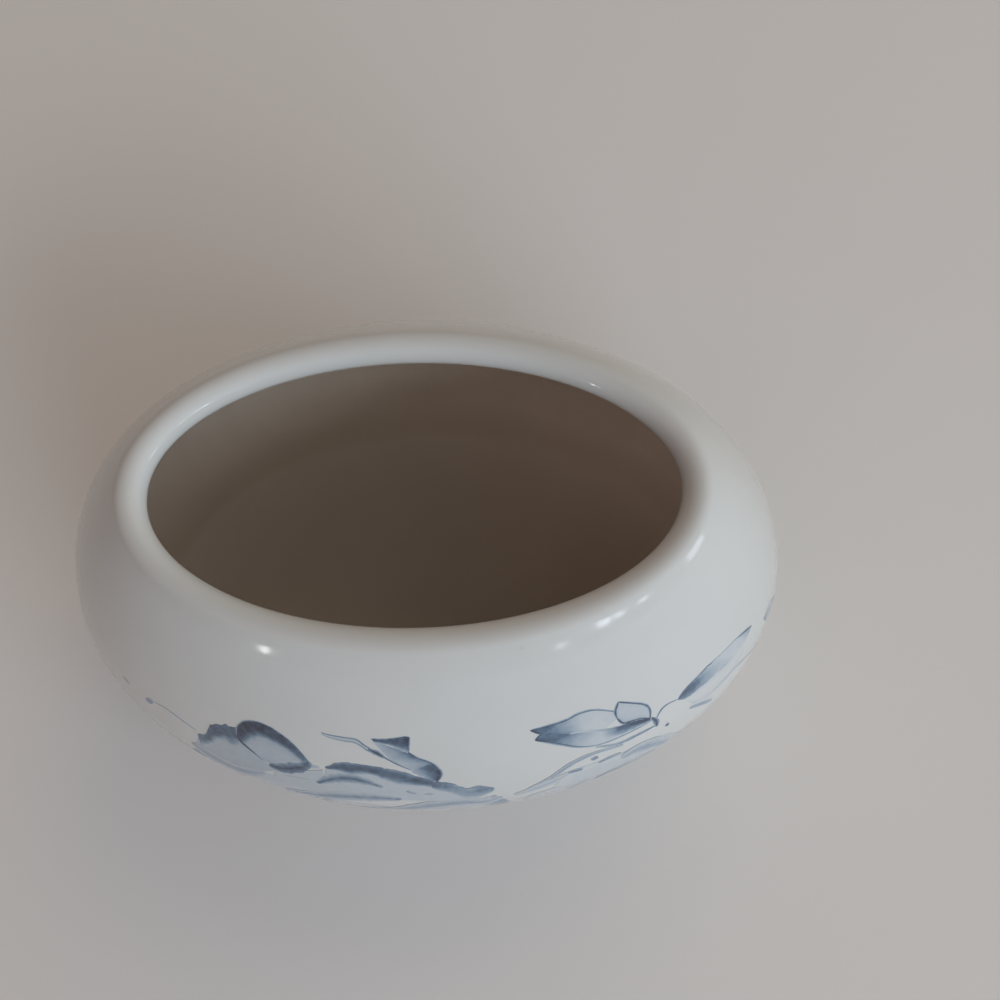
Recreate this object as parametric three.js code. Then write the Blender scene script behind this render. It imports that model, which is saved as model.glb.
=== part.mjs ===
// A miniature oval vase in glazed porcelain: a round-shouldered pot with a wide oval mouth,
// white glaze outside, brown glaze inside, a bare foot ring, and a blue printed spray of
// blossoms and leaves on the front and back.
// Millimetres, +Z up, X along the oval. The origin is the middle of the foot, on the table.
import * as THREE from 'three';

// Outside form
const LENGTH = 80; // widest size, along X
const DEPTH = 56; // widest size, along Y
const HEIGHT = 46.5; // table to the top of the lip
const BELLY_HEIGHT = 21.5; // table to the widest line
const MOUTH_DEPTH = 27.4; // opening along Y, between the inner edges of the lip
const SHOULDER_FALL = 40; // degrees below level where the shoulder leaves the lip
const SHOULDER_LIP_PULL = 5; // length of the shoulder curve's handle at the lip
const SHOULDER_BELLY_PULL = 8; // and at the belly
const UNDERSIDE_RISE = 20; // degrees above level where the underside leaves the foot
const UNDERSIDE_FOOT_PULL = 7; // length of the underside curve's handle at the foot
const UNDERSIDE_BELLY_PULL = 12; // and at the belly

// Layers of the wall, from the outside in: white glaze, porcelain, brown glaze
const WALL = 2.5; // porcelain
const GLAZE = 0.35; // each coat
const FUSE_GAP = 0.1; // between a coat and the porcelain
const COAT_SEAM = 0.4; // between the two coats, along the wall under the lip

// Foot ring
const FOOT_DEPTH = 34; // outside size along Y
const FOOT_WIDTH = 2.8; // of the ring's wall
const FOOT_HEIGHT = 2;
const FOOT_EDGE = 0.4; // chamfer beside the face that it stands on
const FOOT_SHELF = 0.8; // how far outside the ring the white glaze stops
const GLAZE_LINE = 0.3; // how far above the ring the white glaze stops

// Print, thin colour patches on the white glaze
const PRINT_THICKNESS = 0.2;
const PRINT_GAP = 0.15; // between a patch and the glaze
const STEM_BREADTH = 0.6;
const BACK_DROP = 3; // by which the spray sits lower on the back
const BLUNT_END = 0.12; // share of its breadth that a leaf or bud keeps at its ends
const LEAF_LEAN = 0.8; // under one moves a leaf's widest place towards its first end
const SCALLOP = 0.08; // share by which a blossom's edge draws in between petals
const PETALS = 7; // round a blossom

// Fineness
const OVAL_STEPS = 40; // round the oval, a multiple of four
const CURVE_STEPS = 6; // along the shoulder and along the underside
const LIP_STEPS = 5;
const PATCH_STEPS = 8; // along a leaf or a stem
const BLOSSOM_STEPS = 21; // round a blossom

// Worked out from the sizes above
const STRETCH = (LENGTH - DEPTH) / 2; // by which every ring is pulled apart along X
const FULL_WALL = WALL + 2 * (GLAZE + FUSE_GAP); // the lip is half round at this thickness
const LIP_RADIUS = FULL_WALL / 2;

const PORCELAIN = new THREE.MeshStandardMaterial({ color: 0xe6dfd3, roughness: 0.75, metalness: 0 });
const WHITE_GLAZE = new THREE.MeshStandardMaterial({ color: 0xdcdddd, roughness: 0.12, metalness: 0 });
const BROWN_GLAZE = new THREE.MeshStandardMaterial({ color: 0x6a5a4c, roughness: 0.2, metalness: 0 });
const BISCUIT = new THREE.MeshStandardMaterial({ color: 0xd9cfc0, roughness: 0.85, metalness: 0 });
const DARK_BLUE = new THREE.MeshStandardMaterial({ color: 0x4d6079, roughness: 0.14, metalness: 0 });
const MID_BLUE = new THREE.MeshStandardMaterial({ color: 0x7d8fa8, roughness: 0.14, metalness: 0 });
const PALE_BLUE = new THREE.MeshStandardMaterial({ color: 0xaebaca, roughness: 0.14, metalness: 0 });

// The outside profile in radius and height, in three curves from the foot to the inside of the lip.
const belly = new THREE.Vector2(DEPTH / 2, BELLY_HEIGHT);
const skinFoot = new THREE.Vector2(FOOT_DEPTH / 2 + FOOT_SHELF, FOOT_HEIGHT + GLAZE_LINE);
const lipCentre = new THREE.Vector2(MOUTH_DEPTH / 2 + LIP_RADIUS, HEIGHT - LIP_RADIUS);
const fall = THREE.MathUtils.degToRad(SHOULDER_FALL);
const rise = THREE.MathUtils.degToRad(UNDERSIDE_RISE);
const lipStart = Math.PI / 2 - fall;
const shoulderTop = new THREE.Vector2(
  lipCentre.x + LIP_RADIUS * Math.cos(lipStart),
  lipCentre.y + LIP_RADIUS * Math.sin(lipStart),
);

const underside = new THREE.CubicBezierCurve(
  skinFoot,
  new THREE.Vector2(Math.cos(rise), Math.sin(rise)).multiplyScalar(UNDERSIDE_FOOT_PULL).add(skinFoot),
  new THREE.Vector2(belly.x, belly.y - UNDERSIDE_BELLY_PULL),
  belly,
);
const shoulder = new THREE.CubicBezierCurve(
  belly,
  new THREE.Vector2(belly.x, belly.y + SHOULDER_BELLY_PULL),
  new THREE.Vector2(Math.cos(fall), -Math.sin(fall)).multiplyScalar(SHOULDER_LIP_PULL).add(shoulderTop),
  shoulderTop,
);
const lip = new THREE.EllipseCurve(
  lipCentre.x, lipCentre.y, LIP_RADIUS, LIP_RADIUS, lipStart, lipStart + Math.PI,
);

// Even points along a curve up to a share of its length, set in from the outside by a depth.
// The outside is on the right of the curve's direction.
function setIn(curve, steps, depth, end = 1) {
  const points = [];
  for (let step = 0; step <= steps; step += 1) {
    const share = end * step / steps;
    const tangent = curve.getTangentAt(share);
    const point = curve.getPointAt(share);
    points.push(new THREE.Vector2(point.x - tangent.y * depth, point.y + tangent.x * depth));
  }
  return points;
}

// The wall's outer side at a depth: underside, shoulder and half-round lip, from the foot up.
function outerSide(depth) {
  return [
    ...setIn(underside, CURVE_STEPS, depth),
    ...setIn(shoulder, CURVE_STEPS, depth).slice(1),
    ...setIn(lip, LIP_STEPS, depth).slice(1),
  ];
}

// The wall's inner side at a depth, from the floor up to a seam below the lip.
function innerSide(depth, seam) {
  const end = 1 - seam / shoulder.getLength();
  return [...setIn(underside, CURVE_STEPS, depth), ...setIn(shoulder, CURVE_STEPS, depth, end).slice(1)];
}

function onAxis(height) {
  return new THREE.Vector2(0, height);
}

// A profile turned about Z, with every ring then pulled apart along X by the same length into an oval.
function sweepRoundOval(profile) {
  const geometry = new THREE.LatheGeometry(profile, OVAL_STEPS);
  geometry.rotateX(Math.PI / 2);
  const position = geometry.attributes.position;
  for (let index = 0; index < position.count; index += 1) {
    const turn = Math.floor(index / profile.length) / OVAL_STEPS * 2 * Math.PI;
    position.setX(index, position.getX(index) + STRETCH * Math.sin(turn));
  }
  return geometry;
}

function piece(name, geometry, material) {
  const mesh = new THREE.Mesh(geometry, material);
  mesh.name = name;
  return mesh;
}

// The cast body: one wall from the floor to the lip, flat underneath where the foot ring sits.
function porcelainBody() {
  const skinDepth = GLAZE + FUSE_GAP;
  const outside = outerSide(skinDepth);
  const inside = innerSide(FULL_WALL - skinDepth, 0).reverse().slice(1);
  const base = FOOT_HEIGHT + FUSE_GAP;
  const profile = [
    onAxis(base),
    new THREE.Vector2(FOOT_DEPTH / 2, base),
    ...outside,
    ...inside,
    onAxis(inside.at(-1).y),
  ];
  return piece('porcelain_body', sweepRoundOval(profile), PORCELAIN);
}

// The white coat: from the foot, up the outside and over the lip.
function outerGlaze() {
  const outside = outerSide(0);
  const back = outerSide(GLAZE).reverse();
  return piece('outer_glaze', sweepRoundOval([...outside, ...back, outside[0]]), WHITE_GLAZE);
}

// The brown coat: the floor and the inner wall, up to the seam below the lip.
function linerGlaze() {
  const face = innerSide(FULL_WALL, COAT_SEAM).reverse();
  const back = innerSide(FULL_WALL - GLAZE, COAT_SEAM);
  const profile = [onAxis(back[0].y), ...back, ...face, onAxis(face.at(-1).y)];
  return piece('liner_glaze', sweepRoundOval(profile), BROWN_GLAZE);
}

// The bare ring that the vase stands on.
function footRing() {
  const outer = FOOT_DEPTH / 2;
  const inner = outer - FOOT_WIDTH;
  const profile = [
    new THREE.Vector2(inner + FOOT_EDGE, 0),
    new THREE.Vector2(outer - FOOT_EDGE, 0),
    new THREE.Vector2(outer, FOOT_EDGE),
    new THREE.Vector2(outer, FOOT_HEIGHT),
    new THREE.Vector2(inner, FOOT_HEIGHT),
    new THREE.Vector2(inner, FOOT_EDGE),
    new THREE.Vector2(inner + FOOT_EDGE, 0),
  ];
  return piece('foot_ring', sweepRoundOval(profile), BISCUIT);
}

// The whole outside as one path measured along its length, which the print lies on.
const skin = new THREE.CurvePath();
skin.add(underside);
skin.add(shoulder);
skin.add(lip);

// A place on the skin, from degrees round Z, from +X, and the climb along the skin above the belly line.
function placeOnSkin(degrees, climb) {
  const share = (underside.getLength() + climb) / skin.getLength();
  return {
    bearing: THREE.MathUtils.degToRad(degrees),
    profile: skin.getPoint(share),
    slope: skin.getTangent(share),
  };
}

// A point lifted off the skin, square to it.
function offSkin(degrees, climb, lift) {
  const { bearing, profile, slope } = placeOnSkin(degrees, climb);
  const cosine = Math.cos(bearing);
  const sine = Math.sin(bearing);
  const around = new THREE.Vector3(-(profile.x + STRETCH) * sine, profile.x * cosine, 0);
  const upward = new THREE.Vector3(slope.x * cosine, slope.x * sine, slope.y);
  const outward = around.cross(upward).normalize();
  return new THREE.Vector3((profile.x + STRETCH) * cosine, profile.x * sine, profile.y)
    .addScaledVector(outward, lift);
}

// Millimetres along the skin for each degree round the oval, at a place.
function girthPerDegree(degrees, climb) {
  const { bearing, profile } = placeOnSkin(degrees, climb);
  const perRadian = Math.hypot((profile.x + STRETCH) * Math.sin(bearing), profile.x * Math.cos(bearing));
  return THREE.MathUtils.degToRad(perRadian);
}

// Lays a flat geometry on the skin. `spread` turns its x and y into degrees and climb, and z runs through it.
function layOnSkin(geometry, spread) {
  const position = geometry.attributes.position;
  for (let index = 0; index < position.count; index += 1) {
    const [degrees, climb] = spread(position.getX(index), position.getY(index));
    const lift = PRINT_GAP + PRINT_THICKNESS * (0.5 + position.getZ(index));
    const point = offSkin(degrees, climb, lift);
    position.setXYZ(index, point.x, point.y, point.z);
  }
  return geometry;
}

// Breadth along a leaf, a bud or a stem, as a share of its greatest breadth.
const leafOutline = (share) => BLUNT_END + (1 - BLUNT_END) * Math.sin(Math.PI * share ** LEAF_LEAN);
const budOutline = (share) => BLUNT_END + (1 - BLUNT_END) * Math.sqrt(Math.sin(Math.PI * share));
const stemOutline = () => 1;

// A leaf, bud or stem: a patch along a bowed line from one place on the skin to another.
function patch(motif, settle, outline, acrossSteps) {
  const { startDegrees, startClimb, endDegrees, endClimb, breadth = STEM_BREADTH, bow = 0 } = motif;
  const geometry = new THREE.BoxGeometry(1, 1, 1, PATCH_STEPS, acrossSteps, 1);
  const girth = girthPerDegree((startDegrees + endDegrees) / 2, (startClimb + endClimb) / 2);
  const run = new THREE.Vector2((endDegrees - startDegrees) * girth, endClimb - startClimb);
  const side = new THREE.Vector2(-run.y, run.x).normalize();
  return layOnSkin(geometry, (x, y) => {
    const share = x + 0.5;
    const offset = y * breadth * outline(share) + bow * 4 * share * (1 - share);
    const degrees = startDegrees + (run.x * share + side.x * offset) / girth;
    return settle(degrees, startClimb + run.y * share + side.y * offset);
  });
}

// A blossom: a round patch with a scalloped edge, as wide in degrees and as tall as stated.
function blossom({ degrees, climb, halfDegrees, halfHeight }, settle) {
  const rim = [[0, -0.5], [0.5, -0.5], [1, -0.5], [1, 0.5], [0.5, 0.5], [0, 0.5]];
  const profile = rim.map(([radius, height]) => new THREE.Vector2(radius, height));
  const geometry = new THREE.LatheGeometry(profile, BLOSSOM_STEPS).rotateX(Math.PI / 2);
  return layOnSkin(geometry, (x, y) => {
    const swell = 1 + SCALLOP * (Math.cos(PETALS * Math.atan2(y, x)) - 1) * Math.hypot(x, y);
    return settle(degrees + x * swell * halfDegrees, climb + y * swell * halfHeight);
  });
}

// One spray. Degrees run round Z, here on the front, and climbs run up the skin from the belly line.
const BLOSSOMS = {
  blossom_left: { tint: MID_BLUE, degrees: 243.5, climb: 5.8, halfDegrees: 9.6, halfHeight: 9.2 },
  blossom_centre: { tint: MID_BLUE, degrees: 268, climb: 0.5, halfDegrees: 13.8, halfHeight: 10 },
  blossom_right: { tint: PALE_BLUE, degrees: 301.5, climb: -2, halfDegrees: 14.5, halfHeight: 7.6 },
};
const LEAVES = {
  leaf_turned: {
    tint: DARK_BLUE, breadth: 3, bow: 0.9,
    startDegrees: 263.4, startClimb: 16.2, endDegrees: 275.5, endClimb: 12.6,
  },
  leaf_forked: {
    tint: MID_BLUE, breadth: 5.4,
    startDegrees: 288, startClimb: 15.2, endDegrees: 307.8, endClimb: 10.8,
  },
  leaf_slender: {
    tint: MID_BLUE, breadth: 4.4,
    startDegrees: 315, startClimb: 10.4, endDegrees: 335.5, endClimb: 9,
  },
  leaf_end: {
    tint: DARK_BLUE, breadth: 2.4,
    startDegrees: 338.5, startClimb: 7.2, endDegrees: 346.5, endClimb: 3.2,
  },
  leaf_low_left: {
    tint: MID_BLUE, breadth: 4,
    startDegrees: 240, startClimb: -6.6, endDegrees: 224, endClimb: -8.6,
  },
  leaf_low_centre: {
    tint: DARK_BLUE, breadth: 3.4,
    startDegrees: 283, startClimb: -6.5, endDegrees: 291, endClimb: -13,
  },
  leaf_low_right: {
    tint: MID_BLUE, breadth: 3.8,
    startDegrees: 317.5, startClimb: -3.5, endDegrees: 332, endClimb: -8,
  },
};
const BUDS = {
  bud_left: {
    tint: DARK_BLUE, breadth: 1.8,
    startDegrees: 220.6, startClimb: 9.6, endDegrees: 224.2, endClimb: 9.2,
  },
  bud_small: {
    tint: DARK_BLUE, breadth: 1.1,
    startDegrees: 214.4, startClimb: 9, endDegrees: 216.8, endClimb: 8.8,
  },
};
const STEMS = {
  stem_left: {
    tint: DARK_BLUE,
    startDegrees: 225, startClimb: 9, endDegrees: 232.8, endClimb: 7.4,
  },
  stem_centre: {
    tint: DARK_BLUE,
    startDegrees: 254.2, startClimb: 16.8, endDegrees: 262.8, endClimb: 16.4,
  },
  stem_right: {
    tint: DARK_BLUE,
    startDegrees: 308.6, startClimb: 10.6, endDegrees: 314.4, endClimb: 10.6,
  },
};

// The same spray on the front and, half a turn on and a little lower, on the back.
function printedSprays() {
  const shapes = [
    [BLOSSOMS, blossom],
    [LEAVES, (motif, settle) => patch(motif, settle, leafOutline, 2)],
    [BUDS, (motif, settle) => patch(motif, settle, budOutline, 2)],
    [STEMS, (motif, settle) => patch(motif, settle, stemOutline, 1)],
  ];
  const meshes = [];
  for (const [side, turn, drop] of [['front', 0, 0], ['back', 180, BACK_DROP]]) {
    const settle = (degrees, climb) => [degrees + turn, climb - drop];
    for (const [motifs, shape] of shapes) {
      for (const [name, motif] of Object.entries(motifs)) {
        meshes.push(piece(`${side}_${name}`, shape(motif, settle), motif.tint));
      }
    }
  }
  return meshes;
}

const vase = new THREE.Group();
vase.add(porcelainBody(), outerGlaze(), linerGlaze(), footRing(), ...printedSprays());

export default vase;
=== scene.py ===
"""Looks of a miniature oval porcelain vase: white and brown glaze, a bare foot and a blue printed spray."""
import math
from bisect import bisect_right
from typing import NamedTuple

import bmesh
import bpy
from bpy.props import FloatProperty, FloatVectorProperty, IntProperty, PointerProperty
from mathutils import Euler, Matrix, Vector
from mathutils.geometry import interpolate_bezier
from mathutils.noise import noise as perlin


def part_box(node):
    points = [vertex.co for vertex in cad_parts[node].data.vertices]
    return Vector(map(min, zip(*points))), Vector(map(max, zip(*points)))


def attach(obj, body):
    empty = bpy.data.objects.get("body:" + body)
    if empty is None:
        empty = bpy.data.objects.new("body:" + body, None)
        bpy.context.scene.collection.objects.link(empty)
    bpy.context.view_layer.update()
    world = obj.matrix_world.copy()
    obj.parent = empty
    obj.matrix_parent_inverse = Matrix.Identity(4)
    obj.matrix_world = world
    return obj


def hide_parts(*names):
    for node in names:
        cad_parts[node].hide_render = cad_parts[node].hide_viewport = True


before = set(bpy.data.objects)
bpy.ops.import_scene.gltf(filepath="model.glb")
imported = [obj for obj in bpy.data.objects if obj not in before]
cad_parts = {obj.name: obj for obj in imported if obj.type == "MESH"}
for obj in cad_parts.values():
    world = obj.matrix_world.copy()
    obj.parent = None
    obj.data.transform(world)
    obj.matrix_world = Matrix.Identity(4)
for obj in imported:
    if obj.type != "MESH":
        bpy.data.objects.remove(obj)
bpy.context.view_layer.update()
COAT_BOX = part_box("outer_glaze")
FOOT_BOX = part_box("foot_ring")

bl_info = {
    "name": "Miniature oval vase",
    "version": (1, 0, 0),
    "blender": (4, 5, 0),
    "location": "View3D > Sidebar > Vase",
    "description": "Glazes, bare foot and printed sprays of a miniature oval vase",
    "category": "Object",
}

MM = 0.001
BODY = "root"
MERGE_DISTANCE = 1e-7
SHARP_EDGE = math.radians(40)
FLOOR_RINGS = 8  # rings of faces across a flat floor
EDGE_STEPS = 8  # facets round the rolled edge of the white coat
FOOT_EDGE_STEPS = 5  # facets round the edges of the foot's face


# Properties that a user would change

def length(name, description, metres):
    return FloatProperty(name=name, description=description, default=metres, min=0.0, precision=5,
                         subtype="DISTANCE", unit="LENGTH")


def angle(name, description, degrees):
    return FloatProperty(name=name, description=description, default=math.radians(degrees),
                         subtype="ANGLE", unit="ROTATION")


def share(name, description, value):
    return FloatProperty(name=name, description=description, default=value, min=0.0, max=1.0,
                         subtype="FACTOR")


def linear(screen_level):
    """Light for a screen level from 0 to 255."""
    level = screen_level / 255
    return level / 12.92 if level <= 0.04045 else ((level + 0.055) / 1.055) ** 2.4


def colour(name, description, red, green, blue):
    """A colour property, stated in screen levels from 0 to 255."""
    return FloatVectorProperty(name=name, description=description, size=3, min=0.0, max=1.0, subtype="COLOR",
                               default=(linear(red), linear(green), linear(blue)))


class VaseForm(bpy.types.PropertyGroup):
    """Sizes of the wall, the lip and the foot."""

    length: length("Length", "Widest size along X", COAT_BOX[1].x - COAT_BOX[0].x)
    depth: length("Depth", "Widest size along Y", COAT_BOX[1].y - COAT_BOX[0].y)
    height: length("Height", "Face that it stands on to the top of the lip", COAT_BOX[1].z)
    belly_height: length("Belly height", "Face that it stands on to the widest line", 21.5 * MM)
    mouth_depth: length("Mouth depth", "Opening along Y between the inner edges of the lip", 27.4 * MM)
    shoulder_fall: angle("Shoulder fall", "Slope where the shoulder leaves the lip", 40)
    shoulder_lip_pull: length("Shoulder pull at the lip", "Handle of the shoulder curve", 5 * MM)
    shoulder_belly_pull: length("Shoulder pull at the belly", "Handle of the shoulder curve", 8 * MM)
    underside_rise: angle("Underside rise", "Slope where the underside leaves the foot", 20)
    underside_foot_pull: length("Underside pull at the foot", "Handle of the underside curve", 7 * MM)
    underside_belly_pull: length("Underside pull at the belly", "Handle of the underside curve", 12 * MM)
    wall: length("Porcelain", "Thickness of the cast wall", 2.5 * MM)
    glaze: length("Glaze", "Thickness of each coat", 0.35 * MM)
    fuse_gap: length("Fuse gap", "Between a coat and the porcelain", 0.1 * MM)
    coat_seam: length("Coat seam", "Between the white and the brown coat under the lip", 0.02 * MM)
    foot_depth: length("Foot depth", "Outside size of the foot along Y", FOOT_BOX[1].y - FOOT_BOX[0].y)
    foot_width: length("Foot width", "Thickness of the foot ring", 2.8 * MM)
    foot_height: length("Foot height", "Height of the foot ring", FOOT_BOX[1].z)
    foot_edge: length("Foot edge", "Rounding beside the face that it stands on", 0.4 * MM)
    foot_shelf: length("Foot shelf", "How far outside the foot the white coat stops", 0.8 * MM)
    glaze_line: length("Glaze line", "How far above the foot the white coat stops", 0.3 * MM)
    round_steps: IntProperty(name="Round steps", description="Facets round the oval", default=176, min=16)
    curve_points: IntProperty(name="Curve points", description="Points along each curve", default=34, min=6)


class VasePrint(bpy.types.PropertyGroup):
    """Sizes of the printed marks."""

    lift: length("Lift", "First mark above the glaze", 0.006 * MM)
    layer: length("Layer", "Each mark above the one before", 0.002 * MM)
    root: length("Root", "How far the marks reach into the glaze", 0.02 * MM)
    front_drop: length("Front drop", "By which the spray sits lower on the front", 0.3 * MM)
    back_drop: length("Back drop", "By which the spray sits lower on the back", 3 * MM)


class VaseFinish(bpy.types.PropertyGroup):
    """Colours and gloss of the glazes, the foot and the print."""

    white: colour("White glaze", "Outside", 203, 204, 203)
    brown: colour("Brown glaze", "Inside", 228, 217, 205)
    # Darker colour low inside: pooled glaze, and also painted shade in the bottom of the pot
    brown_pooled_and_shaded: colour("Pooled brown", "Where the inside glaze runs thick", 192, 178, 163)
    porcelain: colour("Porcelain", "Bare underside", 226, 218, 206)
    biscuit: colour("Biscuit", "Bare foot", 214, 202, 186)
    grime: colour("Grime", "Rubbed into the foot's face", 138, 124, 108)
    speck: colour("Specks", "Iron specks in the glaze", 128, 108, 88)
    glaze_roughness: share("Glaze roughness", "Gloss of the white coat", 0.1)


class VaseStage(bpy.types.PropertyGroup):
    """Camera and floor."""

    camera_place: FloatVectorProperty(name="Camera", description="Where the camera stands", size=3,
                                      default=(8.23 * MM, -35.93 * MM, 137.96 * MM),
                                      subtype="XYZ", unit="LENGTH")
    camera_tilt: angle("Camera tilt", "How steeply the camera looks down", 69.61)
    camera_roll: angle("Camera roll", "Turn of the camera about its own axis", -0.79)
    camera_turn: angle("Camera turn", "Turn of the camera about Z", 0.01)
    focal_pixels: FloatProperty(name="Focal length", description="In pixels of a picture 1000 wide",
                                default=1040.0)
    floor: colour("Floor", "Plain pale floor", 225, 223, 222)
    floor_size: length("Floor size", "Half the floor's side", 1.6)


# The outside of the wall

def full_wall(form):
    """Porcelain with a coat on each side."""
    return form.wall + 2 * (form.glaze + form.fuse_gap)


class Skin:
    """The outside of the wall in radius and height, from the foot up and over the lip."""

    def __init__(self, form):
        lip_radius = full_wall(form) / 2
        belly = Vector((form.depth / 2, form.belly_height))
        foot = Vector((form.foot_depth / 2 + form.foot_shelf, form.foot_height + form.glaze_line))
        lip_centre = Vector((form.mouth_depth / 2 + lip_radius, form.height - lip_radius))
        fall = Vector((math.cos(form.shoulder_fall), -math.sin(form.shoulder_fall)))
        rise = Vector((math.cos(form.underside_rise), math.sin(form.underside_rise)))
        upright = Vector((0, 1))
        lip_start = math.pi / 2 - form.shoulder_fall
        top = lip_centre + lip_radius * Vector((math.cos(lip_start), math.sin(lip_start)))
        self.underside = interpolate_bezier(
            foot, foot + rise * form.underside_foot_pull,
            belly - upright * form.underside_belly_pull, belly, form.curve_points)
        self.shoulder = interpolate_bezier(
            belly, belly + upright * form.shoulder_belly_pull,
            top + fall * form.shoulder_lip_pull, top, form.curve_points)
        self.lip = []
        for step in range(form.curve_points):
            turn = lip_start + math.pi * step / (form.curve_points - 1)
            self.lip.append(lip_centre + lip_radius * Vector((math.cos(turn), math.sin(turn))))
        self.stretch = (form.length - form.depth) / 2
        self.path = self.underside + self.shoulder[1:] + self.lip[1:]
        self.slopes = slopes_along(self.path)
        self.climbs = [0.0]
        for start, end in zip(self.path, self.path[1:]):
            self.climbs.append(self.climbs[-1] + (end - start).length)
        belly_climb = self.climbs[len(self.underside) - 1]
        self.climbs = [climb - belly_climb for climb in self.climbs]

    def profile_at(self, climb):
        """Radius and height, and the slope there, at a climb up the skin from the belly line."""
        index = min(max(bisect_right(self.climbs, climb) - 1, 0), len(self.path) - 2)
        step = (climb - self.climbs[index]) / (self.climbs[index + 1] - self.climbs[index])
        point = self.path[index].lerp(self.path[index + 1], step)
        return point, self.slopes[index].lerp(self.slopes[index + 1], step)

    def place(self, degrees, climb, lift):
        """A point lifted off the skin, square to it."""
        point, slope = self.profile_at(climb)
        cosine = math.cos(math.radians(degrees))
        sine = math.sin(math.radians(degrees))
        around = Vector((-(point.x + self.stretch) * sine, point.x * cosine, 0))
        upward = Vector((slope.x * cosine, slope.x * sine, slope.y))
        outward = around.cross(upward).normalized()
        return Vector(((point.x + self.stretch) * cosine, point.x * sine, point.y)) + outward * lift

    def girth(self, degrees, climb):
        """Metres round the oval for each degree, at a place."""
        point, _ = self.profile_at(climb)
        bearing = math.radians(degrees)
        lengthwise = (point.x + self.stretch) * math.sin(bearing)
        return math.radians(math.hypot(lengthwise, point.x * math.cos(bearing)))


def slopes_along(points):
    """Unit directions along a line of points."""
    slopes = []
    for index in range(len(points)):
        ahead = points[min(index + 1, len(points) - 1)]
        behind = points[max(index - 1, 0)]
        slopes.append((ahead - behind).normalized())
    return slopes


def set_in(points, depth):
    """A profile line moved inwards, square to itself."""
    return [point + Vector((-slope.y, slope.x)) * depth for point, slope in zip(points, slopes_along(points))]


# Meshes turned about Z

def spun(profile, form, closed):
    """A profile in radius and height, spun round Z."""
    mesh = bmesh.new()
    verts = [mesh.verts.new((point.x, 0, point.y)) for point in profile]
    ends = verts[1:] + verts[:1] if closed else verts[1:]
    edges = [mesh.edges.new(pair) for pair in zip(verts, ends)]
    bmesh.ops.spin(mesh, geom=verts + edges, cent=(0, 0, 0), axis=(0, 0, 1), dvec=(0, 0, 0),
                   angle=2 * math.pi, steps=form.round_steps, use_merge=True, use_duplicate=False)
    bmesh.ops.remove_doubles(mesh, verts=mesh.verts, dist=MERGE_DISTANCE)
    bmesh.ops.recalc_face_normals(mesh, faces=mesh.faces)
    return mesh


def pull_into_oval(mesh, skin):
    """Moves a round mesh apart along X, as far as the skin is longer than deep."""
    for vert in mesh.verts:
        radius = math.hypot(vert.co.x, vert.co.y)
        if radius > MERGE_DISTANCE:
            vert.co.x += skin.stretch * vert.co.x / radius


def piece_from(name, mesh, material, node):
    """Makes a mesh into a piece that stands for a solid and moves with the vase."""
    for face in mesh.faces:
        face.smooth = True
    for edge in mesh.edges:
        edge.smooth = edge.calc_face_angle(0.0) < SHARP_EDGE
    data = bpy.data.meshes.new(name)
    mesh.to_mesh(data)
    mesh.free()
    data.materials.append(material)
    piece = bpy.data.objects.new(name, data)
    bpy.context.scene.collection.objects.link(piece)
    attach(piece, BODY)
    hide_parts(node)


def floor_rings(height, radius, count):
    """Places from the axis out along a flat floor."""
    return [Vector((radius * step / count, height)) for step in range(count)]


POOL_FLAT = 0.2  # share of the floor's radius that stays flat
POOL_RINGS = 4  # rings of faces across that flat
POOL_PULL = 0.6  # handles of the bowl's curve, as a share of the way to the corner
POOL_JOIN = 15  # point of the wall where the pooled glaze runs out


def pooled_floor(wall, points):
    """A wall's face from the axis up, with glaze pooled into a smooth bowl where the wall meets the floor."""
    flat_end = Vector((wall[0].x * POOL_FLAT, wall[0].y))
    join = wall[POOL_JOIN]
    slope = (wall[POOL_JOIN + 1] - join).normalized()
    meeting = join - slope * ((join.y - flat_end.y) / slope.y)
    bowl = interpolate_bezier(flat_end, flat_end.lerp(meeting, POOL_PULL),
                              join.lerp(meeting, POOL_PULL), join, points)
    return floor_rings(flat_end.y, flat_end.x, POOL_RINGS) + bowl + wall[POOL_JOIN + 1:]


def rolled_edge(start, end, steps):
    """Half a circle from one place to another, which runs clockwise."""
    middle = (start + end) / 2
    arm = start - middle
    points = []
    for step in range(1, steps):
        turn = Matrix.Rotation(-math.pi * step / steps, 2)
        points.append(middle + turn @ arm)
    return points


# Materials

def feed(tree, value, socket):
    """Links another node's socket to an input, or sets a plain value on it."""
    if isinstance(value, bpy.types.NodeSocket):
        tree.links.new(value, socket)
    else:
        socket.default_value = value


def add_node(tree, kind, values=(), **settings):
    """A new node with its settings, and links or plain values for its inputs by name or number."""
    node = tree.nodes.new(kind)
    for name, value in settings.items():
        setattr(node, name, value)
    for socket, value in dict(values).items():
        feed(tree, value, node.inputs[socket])
    return node


def math_node(tree, operation, first, second):
    return add_node(tree, "ShaderNodeMath", {0: first, 1: second}, operation=operation).outputs[0]


def mix_colours(tree, factor, first, second, blend="MIX"):
    """A colour Mix node fed by sockets or plain values."""
    node = add_node(tree, "ShaderNodeMix", data_type="RGBA", blend_type=blend)
    for name, value in (("Factor_Float", factor), ("A_Color", first), ("B_Color", second)):
        feed(tree, value, next(one for one in node.inputs if one.identifier == name))
    return next(one for one in node.outputs if one.identifier == "Result_Color")


def ranged(tree, value, low, high, new_low, new_high, smooth=False):
    """A Map Range node, clamped."""
    values = {"Value": value, "From Min": low, "From Max": high, "To Min": new_low, "To Max": new_high}
    kind = "SMOOTHSTEP" if smooth else "LINEAR"
    return add_node(tree, "ShaderNodeMapRange", values, interpolation_type=kind).outputs["Result"]


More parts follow.
